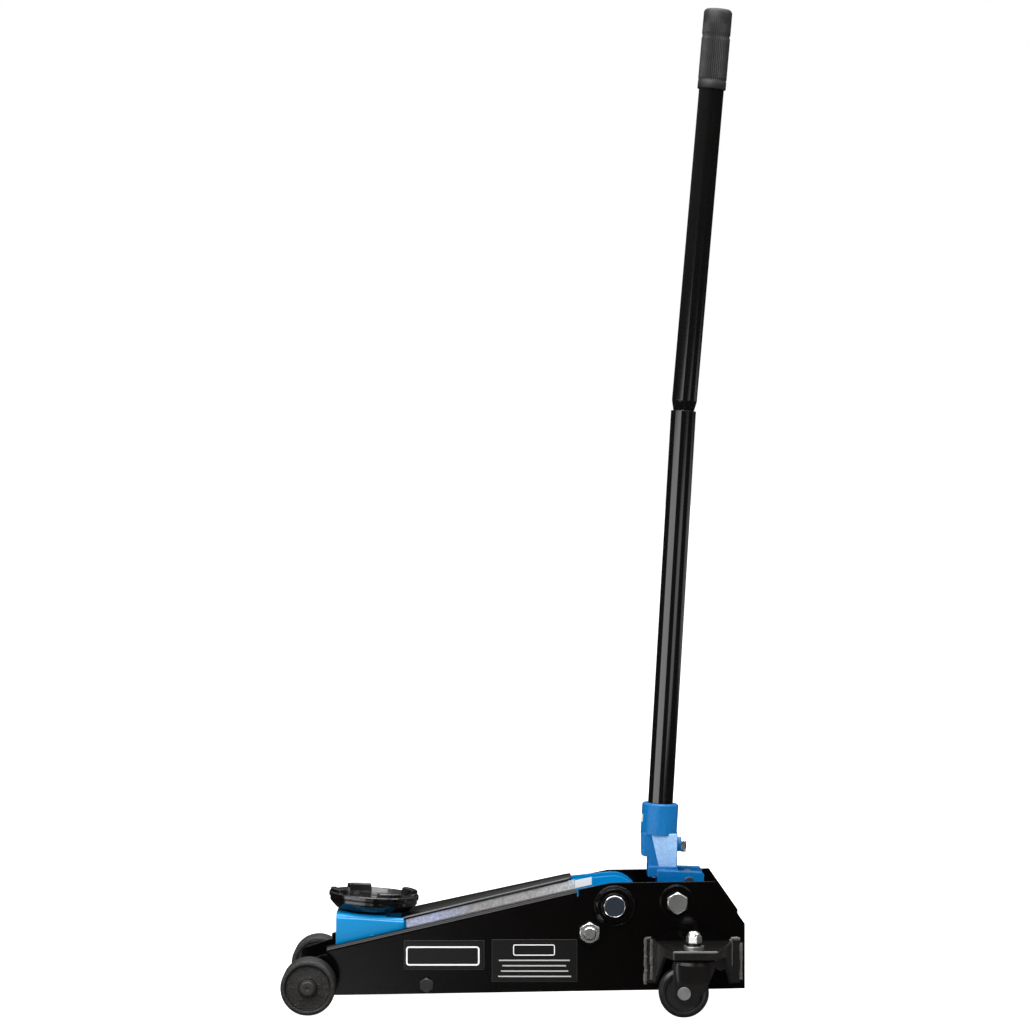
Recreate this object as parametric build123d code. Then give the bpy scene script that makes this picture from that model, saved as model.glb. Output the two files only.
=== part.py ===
"""Hydraulic trolley jack, as an assembly of separate parts.

Millimetres. +X points to the rear (handle end), +Z up, and the front rollers are at -X.
The origin is on the floor, under the middle of the jack's overall box.
Left is -Y and right is +Y, as seen by somebody standing behind the handle.
"""
import os
from math import cos, radians, sin, tan

from build123d import *

# Fits
FIT = 0.05                 # radial clearance of a pin that stays put in its hole
RUN = 0.1                  # radial clearance of a shaft that turns or slides
GAP = 0.6                  # side play between parts that move past each other

# Chassis
SIDE = 80.0                # mid-plane to the outer face of a side plate
SHEET = 4.0                # side plate thickness
FLANGE = 18.0              # width of the inward flange
BEND = 6.0                 # outer radius of the flange bend
INNER = SIDE - SHEET       # mid-plane to the inner face of a side plate

# Pivots, as (x, z)
ARM_PIVOT = (138.9, 141.8)
FRONT_PIN = (-195.0, 90.0)
ANCHOR = (104.3, 105.8)
SOCKET_PIVOT = (225.3, 147.2)
FRONT_AXLE = (-281.5, 37.5)
TIE = (-121.0, 33.0)
LINK_PIN = (FRONT_PIN[0] + ANCHOR[0] - ARM_PIVOT[0], FRONT_PIN[1] + ANCHOR[1] - ARM_PIVOT[1])

# Rollers and casters
WHEEL_R = 37.5
WHEEL_IN = 96.0
WHEEL_OUT = 146.0
CASTER = (245.0, 150.0)    # (x, y) of the right swivel axis
CASTER_R = 34.0
CASTER_TRAIL = 14.0
CASTER_HALF = 13.0         # half the width of a caster wheel

# Lift arm
ARM_FRONT_HALF = 48.0
ARM_REAR_HALF = 27.0
ARM_SHEET = 6.0
LEVER_R = 70.0             # pivot to push roller
LEVER_BACK = 30.0          # degrees that the lever leans back at rest
ROLLER_R = 12.0
PUSH_ROLLER = (
    ARM_PIVOT[0] + LEVER_R * sin(radians(LEVER_BACK)),
    ARM_PIVOT[1] - LEVER_R * cos(radians(LEVER_BACK)),
)

# Hydraulics
RAM_Z = 62.0
RAM_R = 13.0
BORE_R = 16.0
TANK_X = (204.0, 222.0)
BLOCK_X = (222.0, 300.0)
BLOCK_TOP = 92.0
PUMP_X = 251.0
PUMP_TOP = 114.0
VALVE_X = 228.0

# Saddle and its bracket
SADDLE_X = -198.0
SADDLE_R = 63.0
SADDLE_SEAT = 125.5        # height of the bracket's top at the saddle axis
SADDLE_LEAN = 3.65         # degrees that the saddle axis leans back
BRACKET_HALF = 57.0
BRACKET_SHEET = 5.0
BRACKET_FOLD = 9.0         # outer radius of the bracket's top folds

# Socket and handle, both leaning back along one axis
LEAN = 3.34
SOCKET_TOP = 277.0
SOCKET_R = 25.5
TUBE_R = 17.5
TUBE_WALL = 3.0
HANDLE_AT = (205.6, 279.0)
HANDLE_FOOT = 208.0
HANDLE_JOINT = 827.0
UPPER_LEAN = 4.93
HANDLE_TOP = 1390.0
GRIP_LENGTH = 112.0
GRIP_R = 20.0
PRESS_ROLLER = (244.0, 170.5)
PRESS_ROLLER_R = 11.0


def side_plane(x, y, z):
    """Plane facing -Y at a point: its own x is +X and its own y is +Z."""
    return Plane(origin=(x, y, z), x_dir=(1, 0, 0), z_dir=(0, -1, 0))


def slab(points, y0, y1):
    """Plate with an outline of (x, z) points, from y0 to y1."""
    face = make_face(Polyline(*points, close=True))
    return extrude(side_plane(0, y1, 0) * face, y1 - y0)


def rod(centre, radius, y0, y1):
    """Round bar along Y."""
    return extrude(side_plane(centre[0], y1, centre[1]) * Circle(radius), y1 - y0)


def hexagon(centre, flats, y0, y1):
    """Hexagonal bar along Y with a corner pointing up."""
    outline = RegularPolygon(flats / 2, 6, major_radius=False, rotation=30)
    return extrude(side_plane(centre[0], y1, centre[1]) * outline, y1 - y0)


def post(x, y, radius, z0, z1):
    """Round bar along Z."""
    return Pos(x, y, (z0 + z1) / 2) * Cylinder(radius, z1 - z0)


def block(x0, x1, y0, y1, z0, z1):
    """Rectangular block between six faces."""
    return Pos((x0 + x1) / 2, (y0 + y1) / 2, (z0 + z1) / 2) * Box(x1 - x0, y1 - y0, z1 - z0)


def turned(centre, outline):
    """Part turned about an axis along Y, from (radius, y) points."""
    place = Plane(origin=(centre[0], 0, centre[1]), x_dir=(1, 0, 0), z_dir=(0, 0, 1))
    face = place * make_face(Polyline(*outline, close=True))
    return revolve(face, Axis((centre[0], 0, centre[1]), (0, 1, 0)))


def turned_up(x, y, outline):
    """Part turned about an upright axis, from (radius, z) points."""
    face = Pos(x, y, 0) * (Plane.XZ * make_face(Polyline(*outline, close=True)))
    return revolve(face, Axis((x, y, 0), (0, 0, 1)))


def to_left(part):
    """The same part on the other side of the jack."""
    return mirror(part, about=Plane.XZ)


def both(part):
    """A part with its twin on the other side."""
    return Compound([*part.solids(), *to_left(part).solids()])


def arc_points(centre, radius, start, end, count):
    """Points on an arc in the XZ plane, angles in degrees from +X towards +Z."""
    step = (end - start) / (count - 1)
    angles = [radians(start + step * i) for i in range(count)]
    return [(centre[0] + radius * cos(a), centre[1] + radius * sin(a)) for a in angles]


def on_handle(z):
    """Point (x, z) of the lower handle axis at a height."""
    return HANDLE_AT[0] + (z - HANDLE_AT[1]) * tan(radians(LEAN)), z


# ---------------------------------------------------------------- chassis

TOP_REAR = (89.0, 165.7)       # sloping top edge of a side plate
TOP_FRONT = (-249.0, 86.9)
AXLE_R = 8.0
TIE_R = 6.0
ANCHOR_R = 9.0
SHAFT_R = 15.0
BOLT_R = 9.0
BLOCK_BOLT_R = 5.0
BLOCK_BOLTS = [(240.0, 62.0), (285.0, 62.0)]


def below_edge(x, drop):
    """Point under the sloping top edge at x."""
    slope = (TOP_REAR[1] - TOP_FRONT[1]) / (TOP_REAR[0] - TOP_FRONT[0])
    return x, TOP_REAR[1] + (x - TOP_REAR[0]) * slope - drop


def side_plate():
    """Right side plate: pressed sheet with its sloping top edge folded inwards."""
    flange_x = (-259.0, 87.0)
    web = slab([
        (319, 27.9), (319, 117.5), (278, 176), (134, 174), (89, 165), below_edge(89, 10),
        below_edge(-259, 10), below_edge(-262, 8.8), (-300, 63), (-304, 56), (-304, 34),
        (-292, 20.5), (-246, 18.6),
    ], INNER, SIDE)
    fold = slab([
        below_edge(flange_x[0], 0), below_edge(flange_x[1], 0),
        below_edge(flange_x[1], 22), below_edge(flange_x[0], 22),
    ], SIDE - FLANGE, SIDE)
    middle = below_edge(sum(flange_x) / 2, 0)
    outer_edge = fold.edges().sort_by_distance((middle[0], SIDE, middle[1]))[0]
    fold = fillet(outer_edge, BEND)
    hollow = slab([
        below_edge(flange_x[0] - 1, SHEET), below_edge(flange_x[1] + 1, SHEET),
        below_edge(flange_x[1] + 1, 40), below_edge(flange_x[0] - 1, 40),
    ], SIDE - FLANGE - 1, INNER)
    hollow_edge = hollow.edges().sort_by_distance((middle[0], INNER, middle[1] - SHEET))[0]
    plate = web + (fold - fillet(hollow_edge, BEND - SHEET))
    holes = [
        (ARM_PIVOT, SHAFT_R), (ANCHOR, ANCHOR_R), (SOCKET_PIVOT, BOLT_R), (TIE, TIE_R),
        (FRONT_AXLE, AXLE_R), *[(place, BLOCK_BOLT_R) for place in BLOCK_BOLTS],
    ]
    for place, radius in holes:
        plate -= rod(place, radius + FIT, INNER - 1, SIDE + 1)
    return plate


def sleeve(centre, inner, outer, y0, y1):
    """Plain tube along Y."""
    return rod(centre, outer, y0, y1) - rod(centre, inner, y0 - 1, y1 + 1)


def hex_head(centre, flats, y0, y1):
    """Hexagon whose outer corners are turned down, as on a bolt head or a nut."""
    corner = flats / 2 / cos(radians(30))
    limit = turned(centre, [
        (0, y0), (corner, y0), (corner, y1 - 1.8), (flats / 2 * 0.96, y1), (0, y1),
    ])
    return hexagon(centre, flats, y0, y1) & limit


def front_axle():
    """Axle that carries both front rollers."""
    return rod(FRONT_AXLE, AXLE_R, -WHEEL_OUT, WHEEL_OUT)


def front_axle_caps():
    """Domed push-on caps that hold the front rollers."""
    face = WHEEL_OUT + 0.1
    return both(turned(FRONT_AXLE, [
        (0, face), (9.8, face), (9.8, face + 1.6), (8.4, face + 2.8),
        (3.2, face + 2.8), (2.0, face + 1.4), (0, face + 1.4),
    ]))


def front_spacers():
    """Sleeves that hold the front rollers off the side plates."""
    return both(sleeve(FRONT_AXLE, AXLE_R + FIT, 14, SIDE, WHEEL_IN - GAP))


def front_cross_tube():
    """Tube between the side plates, round the front axle."""
    return sleeve(FRONT_AXLE, AXLE_R + FIT, 12, -INNER, INNER)


def tie_tube():
    """Spacer tube between the side plates, ahead of the middle."""
    return sleeve(TIE, TIE_R + FIT, 9, -INNER, INNER)


def tie_bolts():
    """Bolts into both ends of the spacer tube."""
    return both(rod(TIE, TIE_R, 50, SIDE) + hex_head(TIE, 18, SIDE, SIDE + 7.5))


def arm_shaft():
    """Shaft that the lift arm turns on, with bevelled ends."""
    end = SIDE + 8.0
    return turned(ARM_PIVOT, [
        (0, -end), (SHAFT_R - 1.6, -end), (SHAFT_R, 1.6 - end),
        (SHAFT_R, end - 1.6), (SHAFT_R - 1.6, end), (0, end),
    ])


def shaft_collars():
    """Collars welded to the side plates round the ends of the arm shaft."""
    return both(turned(ARM_PIVOT, [
        (SHAFT_R + FIT, SIDE), (27, SIDE), (26, SIDE + 2.4), (23.5, SIDE + 4),
        (18.2, SIDE + 4), (17.6, SIDE + 6.5), (SHAFT_R + FIT, SIDE + 6.5),
    ]))


def anchor_rod():
    """Threaded rod across the chassis that the levelling rods turn on."""
    end = SIDE + 18.0
    return turned(ANCHOR, [
        (0, -end), (ANCHOR_R - 1.5, -end), (ANCHOR_R, 1.5 - end),
        (ANCHOR_R, end - 1.5), (ANCHOR_R - 1.5, end), (0, end),
    ])


def anchor_nuts():
    """Nuts on both ends of the anchor rod."""
    nut = hex_head(ANCHOR, 27, SIDE, SIDE + 14.5)
    return both(nut - rod(ANCHOR, ANCHOR_R + FIT, SIDE - 1, SIDE + 16))


def socket_bolts():
    """Shouldered bolts, one each side, that the handle socket turns on."""
    head = SIDE + 3.0
    return both(rod(SOCKET_PIVOT, BOLT_R, 40, head) + hex_head(SOCKET_PIVOT, 27, head, head + 11.5))


def socket_bolt_washers():
    """Thick washers under the heads of the socket bolts."""
    return both(sleeve(SOCKET_PIVOT, BOLT_R + FIT, 23, SIDE, SIDE + 3.0))


def block_bolts():
    """Two bolts each side that hold the hydraulic block."""
    solids = []
    for place in BLOCK_BOLTS:
        bolt = rod(place, BLOCK_BOLT_R, 56, SIDE) + hex_head(place, 16, SIDE, SIDE + 6.5)
        solids += both(bolt).solids()
    return Compound(solids)


def rear_plate():
    """Plate across the back of the chassis."""
    plate = block(306, 310, -INNER, INNER, 34, 96)
    return plate - Pos(308, 0, 96) * Rot(0, 90, 0) * Cylinder(30, 6)


# ---------------------------------------------------------------- casters

BRACKET_TOP = 94.0
BRACKET_UNDER = 89.0
FORK_TOP = 77.0
KING_R = 6.0
CASTER_AXLE = (CASTER[0] - CASTER_TRAIL, CASTER_R)


def caster_bracket():
    """Right caster bracket: pressed plate with folded edges, welded to the side plate."""
    edge = 187.0
    wall = 4.0
    plan = make_face(Polyline((193, SIDE), (302, SIDE), (277, edge), (214, edge), close=True))
    inside = make_face(Polyline(
        (197, SIDE - 1), (298, SIDE - 1), (273, edge - wall), (218, edge - wall), close=True,
    ))
    side = Plane.YZ * make_face(Polyline(
        (SIDE, 34), (SIDE, BRACKET_TOP), (edge, BRACKET_TOP), (edge, 82), (138, 80), close=True,
    ))
    shell = extrude(plan, BRACKET_TOP) & extrude(side, 400)
    folds = [line for line in shell.edges() if line.center().Z > 84 and line.center().Y > SIDE + 1]
    shell = fillet(folds, 3.5)
    shell -= extrude(inside, BRACKET_UNDER)
    for x in (181, 299):
        tab = block(x, x + 15, SIDE, SIDE + wall, 36, 98)
        shell += fillet(tab.edges().filter_by(Axis.Y), 6)
    return shell - post(*CASTER, KING_R + FIT, 80, 100)


def king_bolts():
    """Bolts that the caster forks swivel on."""
    shank = post(*CASTER, KING_R, 69.5, 101) + post(*CASTER, 10, 69.5, 72.4)
    return both(shank)


def king_nuts():
    """Closed nuts on top of the king bolts."""
    outline = RegularPolygon(9.5, 6, major_radius=False, rotation=12)
    nut = Pos(*CASTER, 101) * extrude(outline, 9)
    nut += turned_up(*CASTER, [(0, 109), (9.3, 109), (9.0, 112), (7.4, 114.8), (4.2, 116.6), (0, 117)])
    return both(nut)


def king_washers():
    """Flat washer and spring washer under each king nut."""
    flat = post(*CASTER, 14, BRACKET_TOP, 96.5) - post(*CASTER, KING_R + FIT, 90, 100)
    spring = post(*CASTER, 10.6, 97, 101) - post(*CASTER, KING_R + FIT, 90, 102)
    return Compound([*both(flat).solids(), *both(spring).solids()])


def caster_races():
    """Upper ball races, pressed to the undersides of the brackets."""
    return both(turned_up(*CASTER, [
        (KING_R + FIT, 82), (20, 82), (23, 84), (25, BRACKET_UNDER), (KING_R + FIT, BRACKET_UNDER),
    ]))


def caster_fork():
    """Right caster fork: pressed crown with the lower race and two cheeks."""
    x, y = CASTER
    crown = turned_up(x, y, [
        (KING_R + RUN, 73), (29, 73), (29, 75), (27, FORK_TOP), (25.5, 79),
        (23, 81.4), (KING_R + RUN, 81.4),
    ])
    cheek = [
        (219, 75), (271, 75), (272.5, 66), (261.4, 41), (243, 25.5), (231, 22), (221, 25), (216.3, 32),
        (216.3, 66),
    ]
    inner = CASTER_HALF + 1.5
    outer = inner + 3.5
    legs = slab(cheek, y + inner, y + outer) + slab(cheek, y - outer, y - inner)
    legs -= rod(CASTER_AXLE, 5 + FIT, y - outer - 1, y + outer + 1)
    return crown + legs


def caster_axle():
    """Right caster axle with a head at each end."""
    y = CASTER[1]
    outer = CASTER_HALF + 5.0
    ends = rod(CASTER_AXLE, 8.8, y + outer, y + outer + 3) + rod(CASTER_AXLE, 8.8, y - outer - 3, y - outer)
    return rod(CASTER_AXLE, 5, y - outer, y + outer) + ends


def caster_wheel():
    """Right caster wheel, moulded in one piece."""
    y = CASTER[1]
    half = [(5 + RUN, 0), (5 + RUN, 13), (11, 13), (12.5, 9.5), (24, 9.5), (26, 12.4), (30, 13), (34, 9), (34, 0)]
    outline = half + [(r, -w) for r, w in reversed(half[1:-1])]
    place = Plane(origin=(CASTER_AXLE[0], y, CASTER_AXLE[1]), x_dir=(1, 0, 0), z_dir=(0, 0, 1))
    face = place * make_face(Polyline(*outline, close=True))
    return revolve(face, Axis((CASTER_AXLE[0], y, CASTER_AXLE[1]), (0, 1, 0)))


def front_wheel():
    """Right front roller: cast, dished on both faces."""
    return turned(FRONT_AXLE, [
        (AXLE_R + RUN, WHEEL_IN), (14, WHEEL_IN), (15.5, 99.5), (30, 99.5), (31.5, WHEEL_IN),
        (35, WHEEL_IN), (WHEEL_R, 98.5), (WHEEL_R, 143.5), (35.5, WHEEL_OUT), (31.5, WHEEL_OUT),
        (30, 141), (13, 141), (12, 145.4), (AXLE_R + RUN, 145.4),
    ])


# ---------------------------------------------------------------- hydraulic unit

def bar_along(y, z, radius, x0, x1):
    """Round bar along X."""
    return Pos((x0 + x1) / 2, y, z) * Rot(0, 90, 0) * Cylinder(radius, x1 - x0)


def power_block():
    """Cast block that holds the ram bore, the pump bore and the release valve."""
    body = block(*BLOCK_X, -44, 44, 30, BLOCK_TOP)
    body = fillet(body.edges().filter_by(Axis.X), 6)
    body += post(PUMP_X, 0, 13, BLOCK_TOP - 2, PUMP_TOP)
    for place in BLOCK_BOLTS:
        body += rod(place, 10, -INNER, -42) + rod(place, 10, 42, INNER)
        body -= rod(place, BLOCK_BOLT_R + FIT, -INNER - 1, -55)
        body -= rod(place, BLOCK_BOLT_R + FIT, 55, INNER + 1)
    body -= bar_along(0, RAM_Z, BORE_R, BLOCK_X[0] - 1, 290)
    body -= post(PUMP_X, 0, 7 + RUN, 80.5, PUMP_TOP + 1)
    body -= post(VALVE_X, 0, 5 + RUN, 81, BLOCK_TOP + 1)
    body -= post(280, 20, 7 + FIT, BLOCK_TOP - 8, BLOCK_TOP + 1)
    return body


def oil_tank():
    """Front end of the oil tank, round the ram cylinder."""
    return bar_along(0, RAM_Z, 36, *TANK_X) - bar_along(0, RAM_Z, BORE_R, TANK_X[0] - 1, TANK_X[1] + 1)


def ram_gland():
    """Screwed gland that the ram slides out of."""
    gland = bar_along(0, RAM_Z, 23, 195, TANK_X[0])
    return gland - bar_along(0, RAM_Z, RAM_R + RUN, 194, TANK_X[0] + 1)


def ram():
    """Ram with its piston and its push head."""
    head = bar_along(0, RAM_Z, 21, 187, 193)
    piston = bar_along(0, RAM_Z, BORE_R - RUN, 276, 288)
    return head + bar_along(0, RAM_Z, RAM_R, 190, 280) + piston


def filler_plug():
    """Oil filler plug."""
    head = Pos(280, 20, BLOCK_TOP) * extrude(RegularPolygon(9, 6, major_radius=False), 6)
    return head + post(280, 20, 7, BLOCK_TOP - 7, BLOCK_TOP)


def release_spindle():
    """Spindle of the release valve."""
    return post(VALVE_X, 0, 5, 82, 118) + block(VALVE_X - 2.5, VALVE_X + 2.5, -8, 8, 117, 125)


def pump_plunger():
    """Pump plunger with its pressing disc."""
    crown = PRESS_ROLLER[1] - PRESS_ROLLER_R - 0.4
    return post(PUMP_X, 0, 7, 111.5, crown - 2) + post(PUMP_X, 0, 12, crown - 4, crown)


def pump_spring():
    """Return spring round the pump plunger."""
    wire = 1.1
    foot = PUMP_TOP + wire + 0.1
    head = PRESS_ROLLER[1] - PRESS_ROLLER_R - 4.6 - wire
    turns = 5
    path = Pos(PUMP_X, 0, foot) * Helix((head - foot) / turns, head - foot, 9.5)
    return sweep(Plane(path @ 0, z_dir=path % 0) * Circle(wire), path=path)


# ---------------------------------------------------------------- lift arm

ARM_LINE_FRONT = (-150.0, 124.0)   # top of the arm cover
ARM_LINE_REAR = (80.0, 176.0)
COVER_SHEET = 4.0


def arm_top(x, drop):
    """Point under the arm's top line at x."""
    slope = (ARM_LINE_REAR[1] - ARM_LINE_FRONT[1]) / (ARM_LINE_REAR[0] - ARM_LINE_FRONT[0])
    return x, ARM_LINE_FRONT[1] + (x - ARM_LINE_FRONT[0]) * slope - drop


def arm_plan(inset):
    """Half plan of the arm, wide at the saddle and narrow at the pivot."""
    front = ARM_FRONT_HALF - inset
    rear = ARM_REAR_HALF - inset
    return [(-230, front), (ARM_LINE_FRONT[0], front), (ARM_LINE_REAR[0], rear), (190, rear)]


def arm_cheek():
    """Right cheek of the lift arm."""
    outline = [
        arm_top(ARM_LINE_REAR[0], COVER_SHEET),
        *arc_points(FRONT_PIN, 19, 102.7, 258, 9),
        (110.2, 120.1),
        *arc_points(ARM_PIVOT, 36, -95, 95, 15),
    ]
    plan = [*arm_plan(0), *reversed(arm_plan(ARM_SHEET))]
    cheek = slab(outline, 0, 60) & extrude(make_face(Polyline(*plan, close=True)), 300)
    cheek -= rod(FRONT_PIN, 9 + FIT, 0, 60)
    return cheek - rod(ARM_PIVOT, 25 + FIT, 0, 60)


def arm_cover():
    """Top plate of the lift arm."""
    front = -158.0
    rear = ARM_LINE_REAR[0]
    plate = slab([
        arm_top(front, 0), arm_top(rear, 0), arm_top(rear, COVER_SHEET - 0.1),
        arm_top(front, COVER_SHEET - 0.1),
    ], -60, 60)
    half = [(-230, 50), (ARM_LINE_FRONT[0], 50), (190, 18.9)]
    plan = half + [(x, -y) for x, y in reversed(half)]
    return plate & extrude(make_face(Polyline(*plan, close=True)), 300)


def arm_hub():
    """Bearing tube of the lift arm."""
    return sleeve(ARM_PIVOT, SHAFT_R + RUN, 25, -INNER + GAP, INNER - GAP)


def lever_point(along, back):
    """Point on the push lever, measured from the pivot along and behind its centre line."""
    lean = radians(LEVER_BACK)
    x = ARM_PIVOT[0] + along * sin(lean) + back * cos(lean)
    return x, ARM_PIVOT[1] - along * cos(lean) + back * sin(lean)


def arm_lever():
    """Pair of lever plates that the ram pushes."""
    outline = [lever_point(*p) for p in [(14, -21), (40, -11), (70, -9), (70, 9), (52, 11), (14, 21)]]
    plate = slab(outline, 13, 19) + rod(PUSH_ROLLER, 9.5, 13, 19)
    plate -= rod(ARM_PIVOT, 25 + FIT, 12, 20)
    plate -= rod(lever_point(48.5, -12), 11.5, 12, 20)
    return both(plate - rod(PUSH_ROLLER, 6 + FIT, 12, 20))


def push_pin():
    """Pin of the push roller."""
    return rod(PUSH_ROLLER, 6, -19.5, 19.5)


def push_roller():
    """Roller that the ram head bears on."""
    return sleeve(PUSH_ROLLER, 6 + RUN, ROLLER_R, -12.4, 12.4)


def front_pin():
    """Pin that joins the lift arm and the saddle bracket."""
    return rod(FRONT_PIN, 9, -BRACKET_HALF - 1.5, BRACKET_HALF + 1.5)


def level_rod():
    """Right levelling rod, which keeps the saddle level."""
    dx = ANCHOR[0] - LINK_PIN[0]
    dz = ANCHOR[1] - LINK_PIN[1]
    length = (dx * dx + dz * dz) ** 0.5
    up = (-dz / length * 8, dx / length * 8)
    bar = slab([
        (LINK_PIN[0] + up[0], LINK_PIN[1] + up[1]), (ANCHOR[0] + up[0], ANCHOR[1] + up[1]),
        (ANCHOR[0] - up[0], ANCHOR[1] - up[1]), (LINK_PIN[0] - up[0], LINK_PIN[1] - up[1]),
    ], 33, 39)
    bar += rod(ANCHOR, 14, 33, 39) + rod(LINK_PIN, 11, 33, 39)
    return bar - rod(ANCHOR, ANCHOR_R + RUN, 32, 40) - rod(LINK_PIN, 6.4, 32, 40)


# ---------------------------------------------------------------- saddle

def on_saddle(part):
    """Part drawn on an upright axis, set on the saddle axis with its zero at the bracket's top."""
    return Pos(SADDLE_X, 0, SADDLE_SEAT) * Rot(0, SADDLE_LEAN, 0) * part


def bracket_shell():
    """Saddle bracket: folded box, open at the rear and below, with the saddle boss inside."""
    half = BRACKET_HALF
    inner = half - BRACKET_SHEET
    shell = slab([(-248, 42), (-247, 128.6), (-153, 122.6), (-153, 82), (-205, 42)], -half, half)
    folds = [shell.edges().sort_by_distance((-200, y, 127))[0] for y in (half, -half)]
    shell = fillet(folds, BRACKET_FOLD)
    shell -= slab([
        (-243, 30), (-242, 123.2), (-178, 119.1), (-178, 140), (-150, 140), (-150, 30),
    ], -inner, inner)
    shell += on_saddle(post(0, 0, 19, -21.5, 1.3))
    shell -= on_saddle(post(0, 0, 11 + RUN, -27, 10))
    shell -= rod(FRONT_PIN, 9 + RUN, -half - 1, half + 1)
    return shell - rod(LINK_PIN, 6 + FIT, -half - 1, half + 1)


def link_pin():
    """Pin across the saddle bracket for the levelling rods."""
    return rod(LINK_PIN, 6, -BRACKET_HALF - 1.5, BRACKET_HALF + 1.5)


def saddle():
    """Cast saddle cup with four lugs and a stem that turns in the bracket."""
    cup = turned_up(0, 0, [
        (0, -20.5), (11, -20.5), (11, 1.9), (17, 1.9), (17, 10), (42, 10), (42, 1.9), (46, 1.9),
        (52, 4), (59.5, 11.5), (61.2, 13.5), (61.2, 18), (SADDLE_R, 19.5), (SADDLE_R, 24.5),
        (62.2, 25.5), (57, 25.5), (53, 20.5), (20, 18), (0, 18),
    ])
    ring = turned_up(0, 0, [(50, 20.5), (61.5, 20.5), (61.5, 30.1), (60, 31.5), (54, 31.5), (52.5, 30.1)])
    for turn in range(4):
        cup += Rot(0, 0, 25 + 90 * turn) * block(40, 70, -16.5, 16.5, 14, 36) & ring
    return on_saddle(cup)


# ---------------------------------------------------------------- handle

def along_handle(outline, origin, lean):
    """Part turned about an axis that leans back, from (radius, distance) points."""
    face = Plane.XZ * make_face(Polyline(*outline, close=True))
    return Pos(origin[0], 0, origin[1]) * Rot(0, lean, 0) * revolve(face, Axis.Z)


def handle_socket():
    """Cast handle socket: a tube over a neck, and a fork that turns on the socket bolts."""
    tube_foot, top = 233.0, SOCKET_TOP
    span = (top - tube_foot) / cos(radians(LEAN))
    socket = along_handle([(0, 0), (SOCKET_R, 0), (SOCKET_R, span - 2), (SOCKET_R - 2, span), (0, span)],
                          on_handle(tube_foot), LEAN)
    neck = slab([
        (187, 178), (187, 203), (178.7, 205), (178.7, 236), (229, 236), (228.5, 184), (228.5, 178),
    ], -19, 19)
    socket += fillet(neck.edges().filter_by(Axis.Z), 3)
    socket += slab([(187, 176), (187, 190), (228, 190), (230, 176)], -26, 26)
    cheek = [(200, 150), (200, 186), (262, 184), (265, 180), (264, 160), *arc_points(SOCKET_PIVOT, 29, -20, -160, 11)]
    for y in (26, -38):
        socket += slab(cheek, y, y + 12)
    socket += both(rod(SOCKET_PIVOT, 20, 30, INNER - GAP))
    socket += bar_along(0, 219, 10, 224, 234.5)
    socket -= rod(SOCKET_PIVOT, BOLT_R + RUN, -INNER, INNER)
    depth = (SOCKET_TOP + 5 - HANDLE_FOOT + 1) / cos(radians(LEAN))
    socket -= along_handle([(0, 0), (TUBE_R + 0.4, 0), (TUBE_R + 0.4, depth), (0, depth)],
                           on_handle(HANDLE_FOOT - 1), LEAN)
    socket -= along_handle([(0, 0), (7 + RUN, 0), (7 + RUN, 60), (0, 60)], on_handle(160), LEAN)
    socket -= block(186, 240, -26, 26, 160, 176)
    socket -= bar_along(0, 219, 5 + FIT, 218, 236)
    return socket - rod(PRESS_ROLLER, 6.7 + FIT, -40, 40)


def press_pin():
    """Pin of the press roller."""
    return rod(PRESS_ROLLER, 6.7, -39.5, 39.5)


def press_roller():
    """Roller that presses the pump plunger."""
    return sleeve(PRESS_ROLLER, 6.7 + RUN, PRESS_ROLLER_R, -25.2, 25.2)


def set_bolt():
    """Bolt that keeps the handle in its socket."""
    head = Pos(234.6, 0, 219) * Rot(0, 90, 0) * extrude(RegularPolygon(9.5, 6, major_radius=False), 7)
    return head + bar_along(0, 219, 5, 222, 235)


def release_yoke():
    """Drive piece whose blade sits in the slot of the handle and turns the release valve."""
    height = 12.0
    foot = HANDLE_FOOT - 0.4
    shaft = along_handle([(0, 0), (7, 0), (7, 37), (0, 37)], on_handle(172), LEAN)
    blade = Pos(on_handle(foot)[0], 0, foot + height / 2) * Rot(0, LEAN, 0) * Box(33, 5, height)
    return shaft + blade


def tube(outer, wall, origin, lean, length):
    """Leaning tube that starts at a point."""
    inner = outer - wall
    return along_handle([(inner, 0), (outer, 0), (outer, length), (inner, length)], origin, lean)


def lower_handle():
    """Lower handle tube, slotted at its foot for the drive piece."""
    length = (HANDLE_JOINT - HANDLE_FOOT) / cos(radians(LEAN))
    pipe = tube(TUBE_R, TUBE_WALL, on_handle(HANDLE_FOOT), LEAN, length)
    slot = Pos(on_handle(HANDLE_FOOT)[0], 0, HANDLE_FOOT) * Rot(0, LEAN, 0) * Box(60, 6, 27)
    return pipe - slot


def upper_handle():
    """Upper handle tube, crimped at its foot to fit inside the lower one."""
    joint = on_handle(HANDLE_JOINT)
    length = (HANDLE_TOP - 6 - HANDLE_JOINT) / cos(radians(UPPER_LEAN))
    crimp = 12.0
    insert = -42.0
    wall = 2.5
    neck = TUBE_R - 4.3
    mouth = TUBE_R - 3.1
    outline = [
        (neck, insert), (neck, -3), (mouth, 0), (TUBE_R - 0.4, crimp), (TUBE_R, crimp + 2.5),
        (TUBE_R, length), (TUBE_R - wall, length), (TUBE_R - wall, crimp + 2.5),
        (mouth - wall, 0), (neck - wall, -3), (neck - wall, insert),
    ]
    return along_handle(outline, joint, UPPER_LEAN)


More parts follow.
